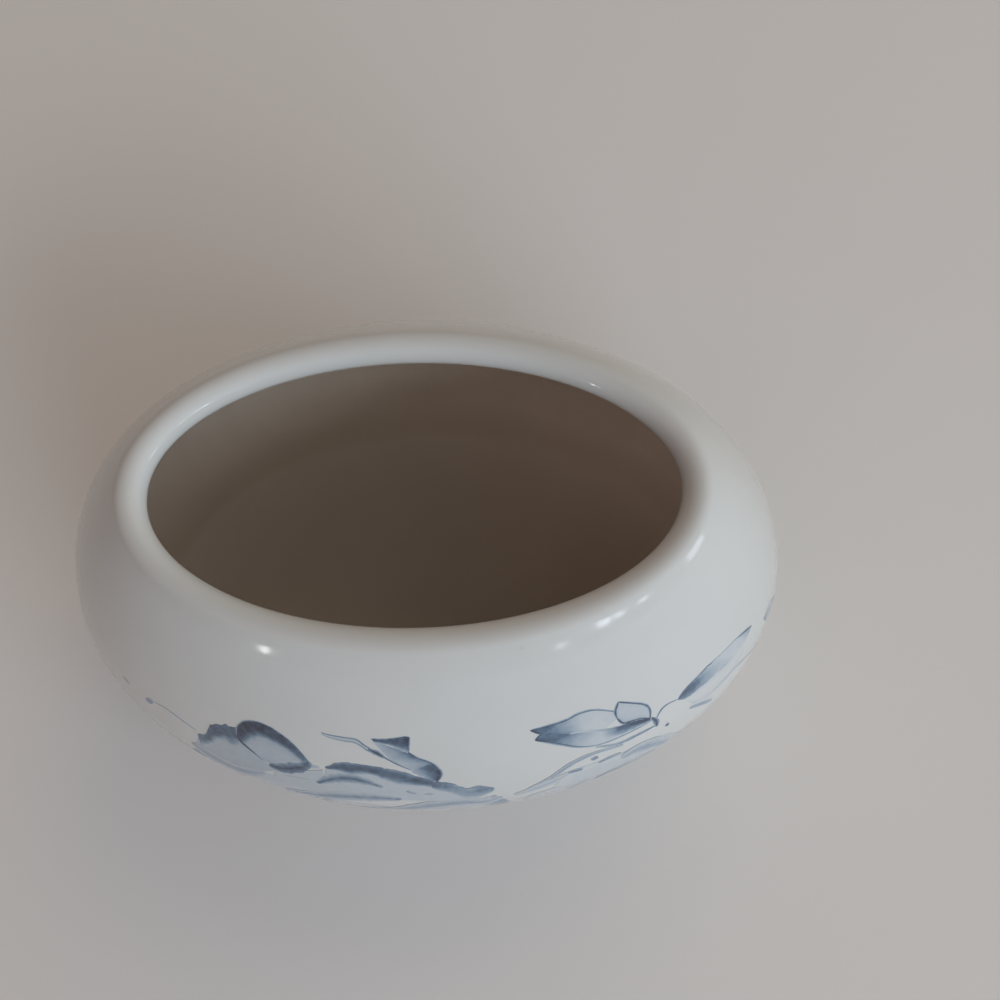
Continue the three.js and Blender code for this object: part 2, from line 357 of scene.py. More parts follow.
def noise(tree, place, scale, detail=2.0, roughness=0.5):
    values = {"Vector": place, "Scale": scale, "Detail": detail, "Roughness": roughness}
    return add_node(tree, "ShaderNodeTexNoise", values).outputs["Fac"]


def object_place(tree):
    """Places on the piece, in metres."""
    return add_node(tree, "ShaderNodeTexCoord").outputs["Object"]


def parted(tree, vector):
    """The X, Y and Z of a vector."""
    return add_node(tree, "ShaderNodeSeparateXYZ", {"Vector": vector}).outputs


def opaque(rgb):
    """A colour with full cover, as a node takes it."""
    return (*rgb, 1.0)


GLAZE_SOCKETS = (
    ("Colour", "INPUT", "Color"),
    ("Speck Colour", "INPUT", "Color"),
    ("Drift", "INPUT", "Float"),
    ("Specks", "INPUT", "Float"),
    ("Gloss", "INPUT", "Float"),
    ("Colour", "OUTPUT", "Color"),
    ("Roughness", "OUTPUT", "Float"),
    ("Height", "OUTPUT", "Float"),
)
SPECK_CELLS = 300.0  # cells in a metre
SPECK_RARITY = 0.955  # share of the cells that hold no speck
SPECK_EDGE = (0.03, 0.09)  # from a cell's middle, in cells, where a speck starts and ends to fade
SMEAR_DULLING = 0.06  # roughness that the smears add
PEEL_HEIGHT = 0.16  # heights as shares of the slow waves
PIT_DEPTH = 0.25


def fired_glaze_group():
    """Tone drift, iron specks, fine smears and the faint unevenness of a fired glaze."""
    name = "Fired glaze"
    if name in bpy.data.node_groups:
        return bpy.data.node_groups[name]
    tree = bpy.data.node_groups.new(name, "ShaderNodeTree")
    for label, side, kind in GLAZE_SOCKETS:
        tree.interface.new_socket(label, in_out=side, socket_type=f"NodeSocket{kind}")
    given = add_node(tree, "NodeGroupInput").outputs
    place = object_place(tree)

    # Slow drift of the tone, darker by up to the stated share
    drift = noise(tree, place, scale=48.0, detail=3.0, roughness=0.55)
    clouds = ranged(tree, drift, 0.3, 0.7, 0.0, 1.0)
    shade = math_node(tree, "SUBTRACT", 1.0, math_node(tree, "MULTIPLY", clouds, given["Drift"]))
    grey = add_node(tree, "ShaderNodeCombineColor", dict.fromkeys(("Red", "Green", "Blue"), shade))
    drifted = mix_colours(tree, 1.0, given["Colour"], grey.outputs["Color"], "MULTIPLY")

    # Few small specks: the middles of some of the cells
    cells = add_node(tree, "ShaderNodeTexVoronoi", {"Vector": place, "Scale": SPECK_CELLS, "Randomness": 1.0})
    draw = add_node(tree, "ShaderNodeSeparateColor", {"Color": cells.outputs["Color"]})
    near_middle = ranged(tree, cells.outputs["Distance"], *SPECK_EDGE, 1.0, 0.0)
    chosen = math_node(tree, "GREATER_THAN", draw.outputs["Red"], SPECK_RARITY)
    spots = math_node(tree, "MULTIPLY", near_middle, chosen)
    shown = math_node(tree, "MULTIPLY", spots, given["Specks"])
    specked = mix_colours(tree, shown, drifted, given["Speck Colour"])

    # Gloss: a little duller on fine smears
    smears = noise(tree, place, scale=160.0, detail=4.0, roughness=0.6)
    dulled = math_node(tree, "ADD", given["Gloss"], ranged(tree, smears, 0.45, 0.75, 0.0, SMEAR_DULLING))

    # Height: slow waves, fine orange peel and small pits at the specks
    waves = noise(tree, place, scale=75.0, detail=1.0)
    peel = math_node(tree, "MULTIPLY", noise(tree, place, scale=420.0, detail=1.0), PEEL_HEIGHT)
    pits = math_node(tree, "MULTIPLY", spots, PIT_DEPTH)
    uneven = math_node(tree, "SUBTRACT", math_node(tree, "ADD", waves, peel), pits)
    add_node(tree, "NodeGroupOutput", {"Colour": specked, "Roughness": dulled, "Height": uneven})
    return tree


def new_material(name, **constants):
    """A material with its shader, and plain values set on the shader's own sockets."""
    material = bpy.data.materials.new(name)
    material.use_nodes = True
    shader = material.node_tree.nodes["Principled BSDF"]
    for socket, value in constants.items():
        shader.inputs[socket.replace("_", " ")].default_value = value
    return material, material.node_tree, shader


def bump(tree, shader, height, metres):
    """Small relief of the stated depth."""
    node = add_node(tree, "ShaderNodeBump", {"Strength": 1.0, "Distance": metres, "Height": height})
    tree.links.new(node.outputs["Normal"], shader.inputs["Normal"])


def glaze_node(tree, colour_value, speck, drift, specks, gloss):
    """The fired glaze with one material's values."""
    values = {"Colour": colour_value, "Speck Colour": opaque(speck), "Drift": drift, "Specks": specks,
              "Gloss": gloss}
    return add_node(tree, "ShaderNodeGroup", values, node_tree=fired_glaze_group())


GLAZE_WAVES = 0.03 * MM  # depth of the glaze's unevenness
GLAZE_IOR = 1.5
WHITE_DRIFT = 0.05  # share by which the white darkens in places
WHITE_SPECKS = 0.12  # strength of its specks
BROWN_DRIFT = 0.08
BROWN_SPECKS = 0.3
BROWN_ROUGHNESS = 0.45


def wear_glaze(tree, shader, glaze, base):
    """Feeds a shader with a colour, and with the gloss and the unevenness of a glaze."""
    tree.links.new(base, shader.inputs["Base Color"])
    tree.links.new(glaze.outputs["Roughness"], shader.inputs["Roughness"])
    bump(tree, shader, glaze.outputs["Height"], GLAZE_WAVES)


def white_node(tree, finish):
    return glaze_node(tree, opaque(finish.white), finish.speck, WHITE_DRIFT, WHITE_SPECKS,
                      finish.glaze_roughness)


def white_glaze(finish):
    material, tree, shader = new_material("white_glaze", IOR=GLAZE_IOR)
    glaze = white_node(tree, finish)
    wear_glaze(tree, shader, glaze, glaze.outputs["Colour"])
    return material


POOL_AND_SHADE_BOTTOM = 5 * MM  # above the foot's face, where the brown glaze is thickest and the painted shade on the pot's floor is darkest
POOL_AND_SHADE_TOP = 15 * MM  # and where it has its plain thickness and the painted shade ends
THIN_REACH = 12 * MM  # below the top of the lip, where the brown starts to thin
THIN_END = 3 * MM  # and where it is thinnest
THINNEST = 0.85  # share of the white that shows through it there
STREAKS = 0.15  # share of the pooled colour in the streaks
STREAK_SQUEEZE = (1.0, 1.0, 0.12)  # of places, which draws the streaks out along Z


def brown_glaze(finish, form):
    """Runs down the wall in faint streaks, pools on the floor and thins out under the lip. The darker pooled
    colour low down is also painted shade in the bottom of the pot.
    """
    material, tree, shader = new_material("brown_glaze", IOR=GLAZE_IOR)
    place = object_place(tree)
    upright = add_node(tree, "ShaderNodeMapping", {"Vector": place, "Scale": STREAK_SQUEEZE})
    lines = noise(tree, upright.outputs["Vector"], scale=260.0, detail=3.0, roughness=0.6)
    streaks = ranged(tree, lines, 0.35, 0.7, 0.0, STREAKS)
    height = parted(tree, place)["Z"]
    # Darker towards the floor: pooled glaze, and also painted shade in the bottom of the pot
    pooled = ranged(tree, height, POOL_AND_SHADE_BOTTOM, POOL_AND_SHADE_TOP, 1.0, 0.0)
    runs = math_node(tree, "MAXIMUM", streaks, pooled)
    brown = mix_colours(tree, runs, opaque(finish.brown), opaque(finish.brown_pooled_and_shaded))
    thin = ranged(tree, height, form.height - THIN_REACH, form.height - THIN_END, 0.0, THINNEST)
    thinned = mix_colours(tree, thin, brown, opaque(finish.white))
    glaze = glaze_node(tree, thinned, finish.speck, BROWN_DRIFT, BROWN_SPECKS, BROWN_ROUGHNESS)
    wear_glaze(tree, shader, glaze, glaze.outputs["Colour"])
    return material


CLAY_IOR = 1.45
CLAY_GRAIN = 0.04 * MM  # depth of the sandy grain
GRAIN_TONE = 0.35  # most grime between the grains
WORN_TONE = 0.75  # most grime on the face that it stands on
CLAY_ROUGHNESS = (0.78, 0.92)


def bare_clay(name, clay, grime, worn_height):
    """Unglazed clay with a sandy grain, rubbed grey on the face that it stands on."""
    material, tree, shader = new_material(name, IOR=CLAY_IOR)
    place = object_place(tree)
    grain = noise(tree, place, scale=2600.0, detail=3.0, roughness=0.65)
    between = ranged(tree, grain, 0.35, 0.75, 0.0, GRAIN_TONE)
    sandy = mix_colours(tree, between, opaque(clay), opaque(grime))
    low = ranged(tree, parted(tree, place)["Z"], 0.0, worn_height, WORN_TONE, 0.0)
    rubs = noise(tree, place, scale=190.0, detail=4.0, roughness=0.6)
    patches = ranged(tree, rubs, 0.4, 0.62, 0.15, 1.0)
    worn = mix_colours(tree, math_node(tree, "MULTIPLY", low, patches), sandy, opaque(grime))
    tree.links.new(worn, shader.inputs["Base Color"])
    tree.links.new(ranged(tree, grain, 0.3, 0.7, *CLAY_ROUGHNESS), shader.inputs["Roughness"])
    bump(tree, shader, grain, CLAY_GRAIN)
    return material


# Screen levels of the printed ink, from the faintest wash to the full line
INK_STEPS = (
    (0.0, (200, 202, 203)),
    (0.15, (184, 190, 196)),
    (0.35, (157, 169, 181)),
    (0.55, (122, 142, 160)),
    (0.7, (88, 108, 130)),
    (0.85, (66, 80, 101)),
    (1.0, (44, 50, 66)),
)
INK_COVER = 0.15  # ink from which no glaze shows through
INK_MOTTLE = (0.84, 1.1)  # by which the ink varies in fine mottles


def printed_ink(finish):
    """Washes and lines fired into the white glaze, by the amount of ink kept on the mesh."""
    material, tree, shader = new_material("printed_ink", IOR=GLAZE_IOR)
    place = object_place(tree)
    kept = add_node(tree, "ShaderNodeAttribute", attribute_name="ink", attribute_type="GEOMETRY")
    fine = noise(tree, place, scale=1100.0, detail=4.0, roughness=0.62)
    mottle = ranged(tree, fine, 0.3, 0.7, *INK_MOTTLE)
    ink = math_node(tree, "MULTIPLY", kept.outputs["Fac"], mottle)
    ramp = add_node(tree, "ShaderNodeValToRGB", {"Fac": ink})
    stops = ramp.color_ramp.elements
    while len(stops) < len(INK_STEPS):
        stops.new(1.0)
    for stop, (position, levels) in zip(stops, INK_STEPS):
        stop.position = position
        stop.color = opaque([linear(level) for level in levels])
    glaze = white_node(tree, finish)
    cover = ranged(tree, ink, 0.0, INK_COVER, 0.0, 1.0)
    wear_glaze(tree, shader, glaze, mix_colours(tree, cover, glaze.outputs["Colour"], ramp.outputs["Color"]))
    return material


FLOOR_DARKEST = 0.93  # of the floor's colour, where it drifts
FLOOR_DRIFT = 0.25  # most of that darker colour
FLOOR_ROUGHNESS = 0.85


def pale_floor(stage):
    material, tree, shader = new_material("pale_floor", Roughness=FLOOR_ROUGHNESS)
    clouds = noise(tree, object_place(tree), scale=14.0, detail=3.0)
    drift = ranged(tree, clouds, 0.3, 0.7, 0.0, FLOOR_DRIFT)
    darker = [channel * FLOOR_DARKEST for channel in stage.floor]
    tree.links.new(mix_colours(tree, drift, opaque(stage.floor), opaque(darker)), shader.inputs["Base Color"])
    return material


# Marks of the printed drawing
# A place is (degrees round Z, on the front side, millimetres up the skin from the belly line).
# Breadths are in millimetres, and inks run from 0 for bare glaze to 1 for a full line.

class Wash(NamedTuple):
    """A brushed patch between two lines: ink across it, shares of that along it, and how ragged it is."""

    near: list
    far: list
    across: tuple
    along: tuple = (1.0, 1.0)
    fray: float = 0.0


class Stroke(NamedTuple):
    """A brush line through a few places: breadths and inks along it, and the share of ink at its sides."""

    places: list
    breadths: tuple
    inks: tuple
    side: float = 0.35


STROKE_SPREAD = 1.35  # by which its soft sides widen a stroke
STROKE_TIP = 0.3  # share of a stroke's breadth that is left at its ends
STROKE_UNEVEN = 0.25  # share by which a stroke's breadth wanders
WASH_STEPS = (36, 10)  # facets along and across
STROKE_STEPS = (28, 4)
STROKE_LOOK = 0.02  # part of a stroke, to each side, from which its direction is read
RAGGED_GRAIN = (1.4, 1.9)  # turns of raggedness for each degree and each millimetre


def mixed(first, second, part):
    """A place part of the way from one to another."""
    return tuple(a + (b - a) * part for a, b in zip(first, second))


def along(places, part):
    """A place on a smooth line through a few places."""
    spans = len(places) - 1
    index = min(int(part * spans), spans - 1)
    step = part * spans - index
    before = places[max(index - 1, 0)]
    start = places[index]
    end = places[index + 1]
    after = places[min(index + 2, spans)]
    point = []
    for a, b, c, d in zip(before, start, end, after):
        bend = (2 * a - 5 * b + 4 * c - d) + (3 * b - a - 3 * c + d) * step
        point.append(b + 0.5 * step * (c - a + bend * step))
    return tuple(point)


def level(values, part):
    """A value between evenly spaced ones."""
    spans = len(values) - 1
    index = min(int(part * spans), spans - 1)
    step = part * spans - index
    return values[index] + (values[index + 1] - values[index]) * step


def raggedness(place):
    """A steady random number from -1 to 1 for a place."""
    return perlin(Vector((place[0] * RAGGED_GRAIN[0], place[1] * RAGGED_GRAIN[1], 0)))


def wash_point(wash, part, across):
    """Where a wash lies, and its ink there."""
    place = mixed(along(wash.near, part), along(wash.far, part), across)
    shift = wash.fray * raggedness(place) * (2 * across - 1) ** 2
    return (place[0], place[1] + shift), level(wash.across, across) * level(wash.along, part)


def stroke_point(stroke, skin, part, across):
    """Where a stroke lies, and its ink there."""
    here = along(stroke.places, part)
    ahead = along(stroke.places, min(part + STROKE_LOOK, 1.0))
    behind = along(stroke.places, max(part - STROKE_LOOK, 0.0))
    girth = skin.girth(here[0], here[1] * MM) / MM
    run = Vector(((ahead[0] - behind[0]) * girth, ahead[1] - behind[1])).normalized()
    swell = STROKE_TIP + (1 - STROKE_TIP) * math.sqrt(max(math.sin(math.pi * part), 0.0))
    breadth = STROKE_SPREAD * level(stroke.breadths, part) * swell * (1 + STROKE_UNEVEN * raggedness(here))
    offset = (across - 0.5) * breadth
    place = (here[0] - run.y * offset / girth, here[1] + run.x * offset)
    inward = 1 - abs(2 * across - 1)
    return place, level(stroke.inks, part) * (stroke.side + (1 - stroke.side) * inward)


def lay_mark(mesh, ink_layer, skin, mark, settle, lift, root):
    """A thin closed patch in the skin for one mark. `settle` moves a place of the front to its side."""
    steps = WASH_STEPS if isinstance(mark, Wash) else STROKE_STEPS
    # The flat grid runs from -0.5 to 0.5 along and across
    below = bmesh.ops.create_grid(mesh, x_segments=steps[0], y_segments=steps[1], size=0.5)["verts"]
    low_faces = list({face for vert in below for face in vert.link_faces})
    raised = bmesh.ops.extrude_face_region(mesh, geom=low_faces, use_keep_orig=True)["geom"]
    above = [part for part in raised if isinstance(part, bmesh.types.BMVert)]
    bmesh.ops.reverse_faces(mesh, faces=low_faces)
    for verts, height in ((below, -root), (above, lift)):
        for vert in verts:
            part = min(max(vert.co.x + 0.5, 0.0), 1.0)
            across = min(max(vert.co.y + 0.5, 0.0), 1.0)
            if isinstance(mark, Wash):
                place, ink = wash_point(mark, part, across)
            else:
                place, ink = stroke_point(mark, skin, part, across)
            degrees, climb = settle(place)
            vert.co = skin.place(degrees, climb * MM, height)
            vert[ink_layer] = ink
    high_faces = [part for part in raised if isinstance(part, bmesh.types.BMFace)]
    for face in high_faces:
        face.normal_update()
    largest = max(high_faces, key=lambda face: face.calc_area())
    outward = largest.calc_center_median() - Vector((0, 0, skin.path[0].y))
    if largest.normal.dot(outward) < 0:
        faces = {face for vert in below + above for face in vert.link_faces}
        bmesh.ops.reverse_faces(mesh, faces=list(faces))


PETAL_ROOT = 0.04  # where a petal starts, as a share of the way from the heart to its rim
PALE_PETAL = (0.3, 0.2, 0.14, 0.12, 0.14, 0.26)  # ink from a petal's root to its rim
FAINT_PETAL = (0.26, 0.2, 0.17, 0.16, 0.15, 0.1)
BAND_DEPTHS = (0.05, 0.2, 0.3, 0.24, 0.06)  # of the dark band along a petal's rim, as shares of the petal


def brushed_petal(heart, rim):
    """A petal that is pale from its root, with a ragged dark band along its rim and a thin outline."""
    root = [mixed(heart, place, PETAL_ROOT) for place in rim]
    inner = []
    for index, place in enumerate(rim):
        depth = level(BAND_DEPTHS, index / (len(rim) - 1))
        inner.append(mixed(place, heart, depth))
    return [
        Stroke(rim, (0.3, 0.5, 0.4, 0.5, 0.3), (0.4, 0.55, 0.5, 0.55, 0.4)),
        Wash(root, rim, PALE_PETAL),
        Wash(inner, rim, (0.04, 0.36, 0.6, 0.7, 0.66), (0.5, 1.0, 1.0, 0.8, 0.5), 0.3),
    ]


def faint_petal(heart, rim):
    """A petal with a pale wash and a broken thin outline."""
    root = [mixed(heart, place, PETAL_ROOT) for place in rim]
    return [
        Wash(root, rim, FAINT_PETAL, fray=0.2),
        Stroke(rim, (0.3, 0.44, 0.3, 0.44), (0.3, 0.4, 0.25, 0.4)),
    ]


def blossom_left():
    heart = (244, 6.4)
    crest = [(240.4, 12.7), (240.6, 14.4), (242, 15.8), (244.6, 16.3), (247.6, 15.6), (250.4, 14),
             (252.9, 11.2)]
    crest_inner = [(240.8, 11.6), (242, 11.6), (243.2, 12.9), (245, 13.7), (247.6, 13.2), (249.6, 12.4),
                   (251.6, 10.8)]
    curl = [(246, 8.8), (247.8, 8.6), (250, 9.4), (251.8, 10.4), (252.6, 11.6)]
    return [
        *brushed_petal(heart, [(232.2, 4.4), (231, 1.6), (233.6, -1.2), (239.4, -0.8)]),
        *brushed_petal(heart, [(238.6, -0.4), (241.4, -3.2), (247.4, -3), (250.6, 0.4)]),
        *faint_petal(heart, [(249.6, -1), (252.6, 1), (253.4, 3.2), (252.6, 4.6)]),
        Wash([(231.6, 3.8), (236, 3.6), (241.6, 4.8), (247, 7.6)],
             [(233, 8.6), (235.6, 11), (238.4, 12.2), (241.6, 11.8)], (0.34, 0.31, 0.28, 0.36)),
        Wash([(242, 11.2), (244.6, 9.4), (247.6, 8.9), (251.4, 10.2)], crest_inner, (0.38, 0.28, 0.26, 0.36)),
        Wash([(233.4, 6), (235.6, 8.2), (236.8, 9.8), (238.4, 10.4), (239.6, 9.8), (240.8, 10.8)],
             [(232.8, 9), (234.4, 9.8), (235.4, 12.4), (237.2, 13.5), (238.6, 13.8), (240.4, 14.2)],
             (0.26, 0.6, 0.8, 0.82, 0.74), (0.85, 1.0, 1.05, 0.95, 1.0), 0.45),
        Stroke(crest, (0.24, 0.4, 0.36, 0.28, 0.28, 0.3), (0.9, 1.0, 1.0, 0.95, 0.85, 0.8)),
        Wash(crest_inner, crest, (0.3, 0.68, 0.92, 0.97, 0.92), (1.05, 1.05, 1.0, 0.98, 0.66), 0.3),
        Stroke([(231.4, 5.4), (233.2, 4.7), (236, 3.8), (238.8, 3.5), (242.2, 4.5), (245, 6)],
               (1.6, 2.6, 2.8, 2.4, 1.6), (0.5, 0.54, 0.56, 0.54, 0.44), 0.3),
        Stroke([(240.5, 13), (241, 11.9), (242, 11.2), (243.6, 10.2), (244.9, 9.2)],
               (0.24, 0.32, 0.26, 0.18, 0.12), (1.0, 1.0, 0.95, 0.85, 0.6), 0.8),
        Wash([(246, 5.2), (250.6, 4), (255, 3.6)], [(247.2, 8), (251.2, 9.2), (254.8, 10.4)],
             (0.2, 0.22, 0.2)),
        Stroke([(248.4, 7.1), (250.6, 7.4), (252.8, 7.5)], (0.5, 0.5), (0.42, 0.36)),
        Stroke([(251.6, 10.3), (252.8, 10.6), (254.4, 10.8)], (0.7, 0.4), (0.6, 0.3)),
        Stroke(curl, (0.9, 1.5, 1.5, 1.3, 0.9), (0.88, 0.95, 0.95, 0.9, 0.76), 0.6),
    ]


def blossom_centre():
    heart = (266, 1.5)
    first_inner = [(255.8, 10.8), (257.6, 10.6), (259.6, 10.2), (262, 10.7), (264.4, 9.7), (266.4, 8.9),
                   (271.6, 8.2)]
    first_rim = [(255.2, 11), (256.6, 12), (258.6, 12.6), (261.6, 12.4), (264.6, 12.1), (267.6, 11.4),
                 (271.8, 9.7)]
    second = [(253.8, 7.1), (255.6, 8.4), (257.6, 9.2), (259.6, 9.4), (261.6, 9), (264, 8.1)]
    return [
        *brushed_petal(heart, [(262.4, -5.8), (263.8, -9), (270.6, -9.8), (274.8, -6)]),
        *brushed_petal(heart, [(254.8, 3.4), (253.4, -2), (256.4, -6.4), (263.2, -6)]),
        *brushed_petal(heart, [(274, -5.8), (280.2, -5.8), (282.4, 0.4), (280.6, 4.6)]),
        *brushed_petal(heart, [(257.4, -0.4), (257.8, -4), (262.2, -5.4), (266.8, -4.2)]),
        *brushed_petal(heart, [(265.6, -4.4), (269.4, -6.6), (275, -4.8), (276.6, -0.6)]),
        Wash([(254, 4), (259, 4.2), (264, 4.8), (270, 4.6), (277, 4)],
             [(255.4, 10.8), (259.6, 10.8), (264.4, 10.8), (268.8, 9.8), (273, 8.2)], (0.2, 0.2, 0.2, 0.22)),
        Wash([(254.6, 5.6), (257.6, 7), (261, 7.2), (263.6, 6.8)], second[:2] + second[3:], (0.2, 0.2, 0.34)),
        Wash(first_inner, first_rim, (0.2, 0.66, 0.84, 0.84, 0.6), (1.0, 1.0, 0.98, 0.94, 1.0), 0.25),
        Wash([(271.4, 8), (274.2, 6.5), (275.6, 5.2), (277.2, 4.6), (278.8, 4.9), (280.4, 5.8)],
             [(271.4, 9.6), (274.4, 8.9), (275.8, 7.9), (277, 7.4), (278.4, 7.7), (280.8, 6.7)],
             (0.26, 0.54, 0.6, 0.54), (1.4, 1.1, 0.95, 0.95, 1.05, 1.1), 0.2),
        Stroke([(259.2, -1.3), (263, -1), (267.2, 1.2), (270.8, 2.7), (275.6, 3.3), (278.8, 2.7),
                (281.6, 3.7)], (1.4, 2.2, 2.2, 1.6), (0.52, 0.58, 0.54, 0.44), 0.3),
        Stroke([(248, 2.1), (252.8, 3), (258.2, 4.5), (263.2, 5.1), (266.4, 5)],
               (1.4, 2, 2, 1.4), (0.54, 0.62, 0.62, 0.66), 0.3),
        Stroke(second, (0.9, 1.3, 1.4, 1.5, 1.3, 0.8), (0.86, 0.8, 0.76, 0.8, 0.76, 0.6), 0.4),
        Stroke([(265.3, 5), (265.9, 5.1), (266.5, 5.2)], (0.7, 0.7), (0.75, 0.75)),
        Stroke([(267.5, 7.4), (268.2, 7), (268.9, 6.7)], (0.5, 0.5), (0.55, 0.5)),
        Stroke([(270.2, 6.5), (270.8, 6.5), (271.4, 6.6)], (0.5, 0.5), (0.45, 0.45)),
    ]


def blossom_right():
    heart = (301, -2)
    return [
        *faint_petal(heart, [(289.8, 3.2), (292.6, 6), (296.4, 6.4), (300.6, 5.7)]),
        *faint_petal(heart, [(299.8, 5.8), (304.8, 5.9), (309.8, 4.5), (313.4, 1.6)]),
        *faint_petal(heart, [(313, 1.4), (316.8, -0.4), (316, -4.4), (309.4, -5)]),
        *brushed_petal(heart, [(310.2, -4.4), (308.2, -8.8), (301.6, -9.8), (298.4, -6.2)]),
        *brushed_petal(heart, [(299.2, -6.4), (294.4, -9.4), (287.8, -6.6), (290, -2.4)]),
        *faint_petal(heart, [(290.8, -3), (286, -2.4), (286, 1.4), (290.4, 2.6)]),
        *brushed_petal(heart, [(294.6, 1), (292.6, -2.6), (296.8, -5.4), (301, -4)]),
        *brushed_petal(heart, [(300.2, -4.2), (304.8, -5.8), (309, -2.8), (307.2, 0.8)]),
        *brushed_petal((301, -3.2), [(297.4, -2.2), (298.2, 0.4), (303.2, 0.8), (305, -1.8)]),
        Stroke([(283.6, 3.5), (286.6, 4.2), (289.6, 5), (293.2, 6.4)], (0.9, 1.2, 1.0),
               (0.3, 0.36, 0.3), 0.25),
        Stroke([(286, 4.8), (289.6, 6.3), (293.2, 8.2), (297.4, 8.8), (302.2, 8)], (0.5, 0.6, 0.56, 0.5),
               (0.36, 0.52, 0.56, 0.4)),
        Stroke([(296.5, 7.5), (297.1, 7.6), (297.7, 7.7)], (0.5, 0.5), (0.7, 0.7)),
        Stroke([(292.4, 6.3), (293.6, 6.2), (294.8, 6)], (0.5, 0.5), (0.75, 0.7)),
        Stroke([(297.6, 6.1), (299.6, 6.3), (301.6, 6.3)], (0.5, 0.4), (0.7, 0.5)),
        Stroke([(301.6, 4.6), (304.8, 4.9), (308, 3.4), (310.8, 1)], (1.6, 2.4, 1.8), (0.46, 0.5, 0.44), 0.3),
        Stroke([(310.5, 7.1), (310.8, 7), (311.1, 6.9)], (0.45, 0.4), (0.9, 0.9)),
    ]


def leaf_turned():
    top = [(262.8, 17.1), (265.6, 17.2), (267.6, 17.5), (268.8, 17.6)]
    fold = [(263.4, 16.5), (265.6, 16.2), (267.2, 15.5), (268.4, 15)]
    left = [(263, 16.8), (265.2, 14.2), (266.4, 13.1), (269.2, 11.5)]
    right = [(268.4, 15.2), (269.6, 14.2), (271.6, 13.1), (272.8, 11)]
    return [
        Stroke(right[:3] + [(272.8, 11.7), (272.8, 10.4), (272, 9.1)],
               (0.3, 0.4, 0.5, 0.5, 0.44, 0.3), (1.0, 0.9, 0.95, 1.0, 0.95, 0.8)),
        Stroke(top, (0.2, 0.24, 0.3), (0.7, 0.8, 0.95)),
        Stroke([(268.8, 17.6), (268.5, 16.4), (268.4, 15.2)], (0.3, 0.36), (0.95, 1.0)),
        Wash(left, right, (0.3, 0.42, 0.52, 0.64, 0.8), (1.0, 0.95, 0.7, 1.1)),
        Wash([(268.6, 11.6), (270.2, 10.5), (271.4, 9.5)], [(271.4, 13), (272.8, 11.7), (272.6, 9.8)],
             (0.36, 0.62, 0.84, 0.95), (0.8, 1.0, 1.05), 0.25),
        Wash(fold, top, (0.26, 0.7, 0.84, 0.74), (0.95, 1.05, 1.12, 1.2), 0.3),
        Stroke([(264.4, 14.3), (266.4, 13.1), (268.6, 11.9)], (0.26, 0.24, 0.18), (0.9, 0.8, 0.7)),
    ]


def leaf_forked():
    notch = (289.6, 15.5)
    upper = [(288, 16.5), (290.8, 16.4), (293.6, 16.4), (296.4, 16.8), (298.8, 16.6), (300.8, 15.8),
             (302.4, 14.9)]
    lower = [(288.4, 14.7), (290, 14.1), (292.4, 12.9), (294.8, 11.5), (297.2, 10.6), (299.6, 10.2),
             (303.2, 10.1), (308, 10)]
    rib = [notch, (294, 14.2), (296.4, 13.8), (299.6, 12.7), (302, 12.1), (304.8, 11.6), (308, 10.5)]
    tone = (0.66, 0.64, 0.68, 0.76)
    lobe_low = [(302.4, 13.8), (303.2, 12.4), (304.8, 12), (306.4, 11.6), (308, 10.6)]
    lobe_top = [(303.5, 16.3), (305.2, 15.4), (307.6, 13.9), (308.4, 12.5), (308, 10.7)]
    return [
        Stroke(upper, (0.4, 0.6, 0.6, 0.56, 0.5, 0.44, 0.5), (1.0, 0.95, 0.9, 0.8, 0.75, 0.75, 0.85)),
        Stroke(lower, (0.4, 0.6, 0.6, 0.5, 0.44, 0.5, 0.6, 0.5), (1.0, 0.95, 0.9, 0.8, 0.7, 0.65, 0.7, 0.8)),
        Wash(rib[:3] + [(299.6, 12.9), (302.3, 13.6)], upper, tone, (1.15, 1.05, 0.6, 0.24, 0.18, 0.2, 0.24)),
        Wash(rib, lower, tone, (1.15, 1.08, 0.64, 0.24, 0.2, 0.26, 0.4)),
        Wash(lobe_low, lobe_top, (0.3, 0.2, 0.18, 0.2)),
        Stroke([(288, 16.5), (288.8, 16), notch], (0.2, 0.24), (1.0, 0.9), 0.8),
        Stroke([notch, (289, 15.1), (288.4, 14.7)], (0.24, 0.2), (0.9, 1.0), 0.8),
        Stroke(rib[1:], (0.2, 0.26, 0.3, 0.3, 0.34), (0.2, 0.3, 0.6, 0.85, 0.9)),
        Stroke([(308.6, 8.5), (305, 8.6), (301.6, 8.7), (297.6, 10)], (0.44, 0.5, 0.4), (0.8, 0.66, 0.5)),
        Stroke([(302.4, 13.8), (302.5, 15), (303.5, 16.3)], (0.26, 0.3), (0.9, 1.0)),
        Stroke(lobe_top, (0.3, 0.24, 0.26, 0.3), (1.0, 0.9, 0.85, 0.95)),
        Stroke(lobe_low, (0.3, 0.36, 0.28, 0.36), (0.95, 1.0, 0.9, 1.0)),
        Wash([(299.2, 10.9), (302.4, 10.5), (305.4, 10.3), (308, 10.1)],
             [(299.4, 12.6), (302.2, 12.1), (304.8, 11.8), (308, 10.8)],
             (0.5, 0.86, 0.9), (0.2, 0.85, 1.0, 1.0), 0.15),
    ]


